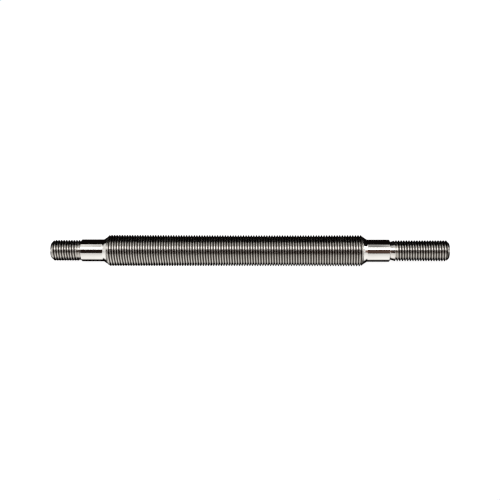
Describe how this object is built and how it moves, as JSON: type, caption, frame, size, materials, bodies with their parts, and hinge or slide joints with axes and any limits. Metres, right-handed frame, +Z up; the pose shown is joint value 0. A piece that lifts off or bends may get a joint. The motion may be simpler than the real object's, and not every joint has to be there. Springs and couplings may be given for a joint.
{
  "type": "screw shaft",
  "caption": "One-piece turned steel screw shaft: long fine main thread, a plain bearing journal on each side of it, and a threaded stub at each end.",
  "frame": {"origin": "on the shaft's axis at half its overall length", "axes": "+X along the shaft, towards the longer end thread; +Z up; the shaft is round about X"},
  "size_m": [0.3058, 0.024, 0.024],
  "materials": {
    "threaded_steel": "bright cut thread",
    "relief_steel": "fine turned",
    "ground_steel": "ground and polished, mirror-bright"
  },
  "bodies": {
    "root": {"left_end_thread": "threaded_steel", "left_thread_relief": "relief_steel", "left_journal": "ground_steel", "left_taper": "ground_steel", "main_thread": "threaded_steel", "right_taper": "ground_steel", "right_journal": "ground_steel", "right_thread_relief": "relief_steel", "right_end_thread": "threaded_steel"}
  },
  "joints": []
}
